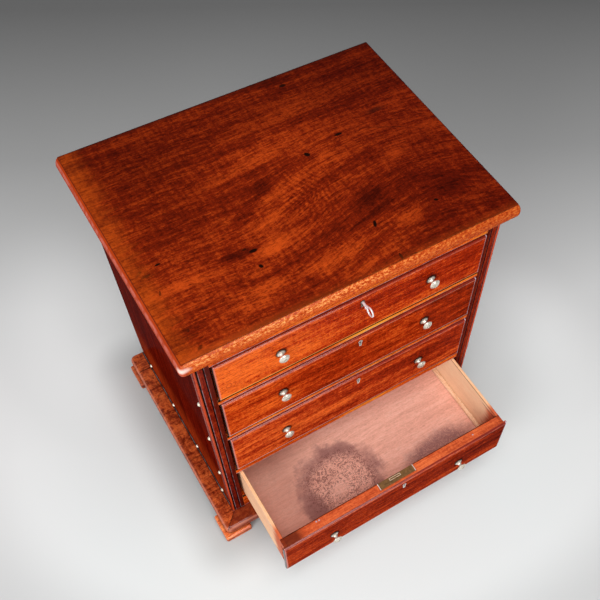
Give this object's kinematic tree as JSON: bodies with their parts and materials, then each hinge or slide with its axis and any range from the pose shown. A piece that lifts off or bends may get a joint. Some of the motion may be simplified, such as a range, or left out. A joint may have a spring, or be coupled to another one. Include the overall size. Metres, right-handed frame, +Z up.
{
  "type": "chest of drawers",
  "caption": "Small mahogany tabletop chest of drawers with a moulded top, grooved pilasters, turned metal knobs, a moulded base on low feet, and the bottom drawer pulled open.",
  "frame": {"origin": "on the floor, under the middle of the whole object as stored, with the bottom drawer pulled open", "axes": "+X to the chest's right as seen from the front, +Y towards its back, +Z up"},
  "size_m": [0.4048, 0.4132, 0.4073],
  "materials": {
    "top_mahogany": "French polished mahogany, dark red-brown with orange lights",
    "front_mahogany": "French polished mahogany veneer, grain across the chest",
    "side_mahogany": "mirror polished mahogany, grain upright",
    "rail_mahogany": "polished mahogany",
    "pilaster_mahogany": "polished mahogany, darker in the grooves",
    "base_mahogany": "polished mahogany with a crossbanded edge",
    "back_wood": "plain unpolished softwood, stained",
    "runner_wood": "plain unpolished wood",
    "drawer_lining": "pale unpolished drawer lining",
    "drawer_bottom": "bare pinkish brown wood with dark ring stains",
    "slip_wood": "pale unpolished wood",
    "knob_metal": "aged pale brass, turned and polished",
    "escutcheon_metal": "pale brass, polished",
    "stud_brass": "pale brass, polished",
    "lock_brass": "olive brown aged brass",
    "bolt_brass": "worn brass",
    "key_steel": "bright steel"
  },
  "bodies": {
    "carcase": {"top_board": "top_mahogany", "left_side": "side_mahogany", "right_side": "side_mahogany", "back_board": "back_wood", "base_board": "base_mahogany", "left_pilaster": "pilaster_mahogany", "right_pilaster": "pilaster_mahogany", "top_rail": "rail_mahogany", "upper_rail": "rail_mahogany", "middle_rail": "rail_mahogany", "lower_rail": "rail_mahogany", "bottom_rail": "rail_mahogany", "left_runners": "runner_wood", "right_runners": "runner_wood", "front_left_foot": "base_mahogany", "front_right_foot": "base_mahogany", "back_left_foot": "base_mahogany", "back_right_foot": "base_mahogany", "left_studs": "stud_brass", "right_studs": "stud_brass"},
    "drawer_1": {"drawer_1_front": "front_mahogany", "drawer_1_left_side": "drawer_lining", "drawer_1_right_side": "drawer_lining", "drawer_1_back": "drawer_lining", "drawer_1_bottom": "drawer_bottom", "drawer_1_left_knob": "knob_metal", "drawer_1_right_knob": "knob_metal", "drawer_1_escutcheon": "escutcheon_metal", "drawer_1_lock": "lock_brass"},
    "drawer_1_bolt": {"drawer_1_bolt": "bolt_brass"},
    "drawer_2": {"drawer_2_front": "front_mahogany", "drawer_2_left_side": "drawer_lining", "drawer_2_right_side": "drawer_lining", "drawer_2_back": "drawer_lining", "drawer_2_bottom": "drawer_bottom", "drawer_2_left_knob": "knob_metal", "drawer_2_right_knob": "knob_metal", "drawer_2_escutcheon": "escutcheon_metal"},
    "drawer_3": {"drawer_3_front": "front_mahogany", "drawer_3_left_side": "drawer_lining", "drawer_3_right_side": "drawer_lining", "drawer_3_back": "drawer_lining", "drawer_3_bottom": "drawer_bottom", "drawer_3_left_knob": "knob_metal", "drawer_3_right_knob": "knob_metal", "drawer_3_escutcheon": "escutcheon_metal"},
    "drawer_4": {"drawer_4_front": "front_mahogany", "drawer_4_left_side": "drawer_lining", "drawer_4_right_side": "drawer_lining", "drawer_4_back": "drawer_lining", "drawer_4_bottom": "drawer_bottom", "drawer_4_left_knob": "knob_metal", "drawer_4_right_knob": "knob_metal", "drawer_4_escutcheon": "escutcheon_metal", "drawer_4_lock": "lock_brass", "drawer_4_left_slip": "slip_wood", "drawer_4_right_slip": "slip_wood"},
    "drawer_4_bolt": {"drawer_4_bolt": "bolt_brass"},
    "key": {"key": "key_steel"}
  },
  "joints": [
    {"name": "drawer_1_slide", "type": "slide", "parent": "carcase", "child": "drawer_1", "axis": [0, -1, 0], "range_m": [0, 0.18]},
    {"name": "drawer_2_slide", "type": "slide", "parent": "carcase", "child": "drawer_2", "axis": [0, -1, 0], "range_m": [0, 0.18]},
    {"name": "drawer_3_slide", "type": "slide", "parent": "carcase", "child": "drawer_3", "axis": [0, -1, 0], "range_m": [0, 0.18]},
    {"name": "drawer_4_slide", "type": "slide", "parent": "carcase", "child": "drawer_4", "axis": [0, -1, 0], "range_m": [-0.1105, 0.0695]},
    {"name": "key_turn", "type": "hinge", "parent": "drawer_1", "child": "key", "pos_m": [0.0055, -0.0851, 0.3603], "axis": [0, -1, 0], "range_deg": [0, 90]},
    {"name": "drawer_1_bolt_slide", "type": "slide", "parent": "drawer_1", "child": "drawer_1_bolt", "axis": [0, 0, 1], "range_m": [0, 0.004]},
    {"name": "drawer_4_bolt_slide", "type": "slide", "parent": "drawer_4", "child": "drawer_4_bolt", "axis": [0, 0, 1], "range_m": [0, 0.004]}
  ],
  "couplings": [
    {"joint": "key_turn", "follows": "drawer_1_bolt_slide", "rad_per_m": 392.7}
  ]
}
